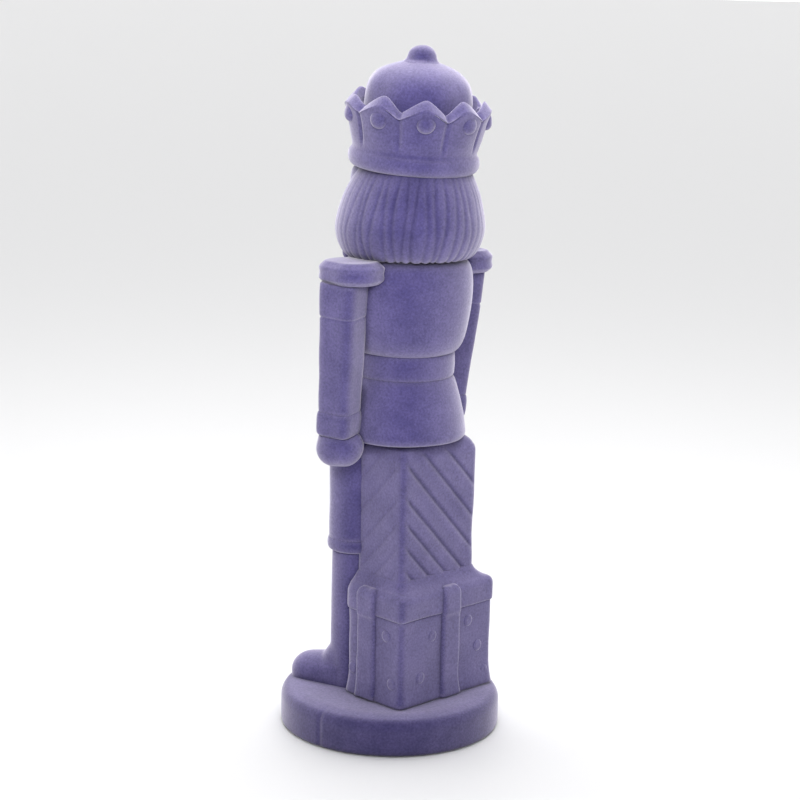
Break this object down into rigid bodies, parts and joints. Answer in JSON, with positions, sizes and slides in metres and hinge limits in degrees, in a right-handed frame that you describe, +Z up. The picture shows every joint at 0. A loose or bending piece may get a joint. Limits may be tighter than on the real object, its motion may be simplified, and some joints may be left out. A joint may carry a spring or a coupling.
{
  "type": "nutcracker figure",
  "caption": "Flocked nutcracker soldier in a pointed crown and epaulettes, standing on a round base with stacked gift boxes behind its legs.",
  "frame": {"origin": "centre of the round base on its underside, where the figure stands", "axes": "+Z up the figure; the figure faces -Y; its own left hand is at +X"},
  "size_m": [0.08, 0.08, 0.2463],
  "materials": {
    "purple_flock": "wooden or moulded core flocked all over in one dusty purple, matt and velvety",
    "bare_wood": "bare hardwood dowel, unseen inside the figure"
  },
  "bodies": {
    "root": {"base": "purple_flock", "left_leg_dowel": "bare_wood", "right_leg_dowel": "bare_wood", "gift_dowel": "bare_wood", "left_boot": "purple_flock", "right_boot": "purple_flock", "left_boot_cuff": "purple_flock", "right_boot_cuff": "purple_flock", "left_trouser_leg": "purple_flock", "right_trouser_leg": "purple_flock", "lower_gift_box": "purple_flock", "lower_gift_lid": "purple_flock", "lower_gift_ribbon": "purple_flock", "lower_gift_dots": "purple_flock", "upper_gift_box": "purple_flock", "coat_skirt": "purple_flock", "belt": "purple_flock", "belt_buckle": "purple_flock", "body_dowel": "bare_wood", "coat_chest": "purple_flock", "coat_buttons": "purple_flock", "left_epaulette": "purple_flock", "right_epaulette": "purple_flock", "left_shoulder_dowel": "bare_wood", "right_shoulder_dowel": "bare_wood", "left_sleeve": "purple_flock", "right_sleeve": "purple_flock", "left_cuff": "purple_flock", "right_cuff": "purple_flock", "left_wrist_dowel": "bare_wood", "right_wrist_dowel": "bare_wood", "left_hand": "purple_flock", "right_hand": "purple_flock", "head_dowel": "bare_wood", "head": "purple_flock", "beard": "purple_flock", "mouth": "purple_flock", "moustache": "purple_flock", "nose": "purple_flock", "eyes": "purple_flock", "eyebrows": "purple_flock", "hair": "purple_flock", "crown_dowel": "bare_wood", "crown": "purple_flock", "crown_jewels": "purple_flock", "crown_cap": "purple_flock", "crown_knob": "purple_flock"}
  },
  "joints": []
}
